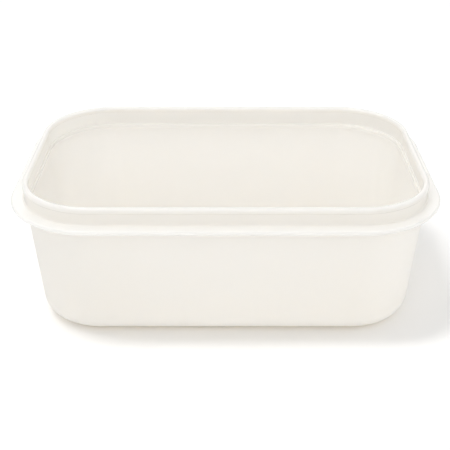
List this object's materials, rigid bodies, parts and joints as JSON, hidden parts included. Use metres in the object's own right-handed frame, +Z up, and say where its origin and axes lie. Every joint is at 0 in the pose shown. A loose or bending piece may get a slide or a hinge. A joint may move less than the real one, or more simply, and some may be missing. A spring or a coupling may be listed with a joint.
{
  "type": "food storage container",
  "caption": "Open rectangular food storage tub of frosted plastic with rounded corners, tapered walls, a ledge flange and a beaded upright lip that a clip-on lid closes over.",
  "frame": {"origin": "centre of the flat base, on the surface the tub stands on", "axes": "+X along the length, +Y across the width, +Z up out of the open mouth"},
  "size_m": [0.2, 0.138, 0.069],
  "materials": {
    "frosted_plastic": "frosted, translucent, warm off-white, satin"
  },
  "bodies": {
    "root": {"tub": "frosted_plastic"}
  },
  "joints": []
}
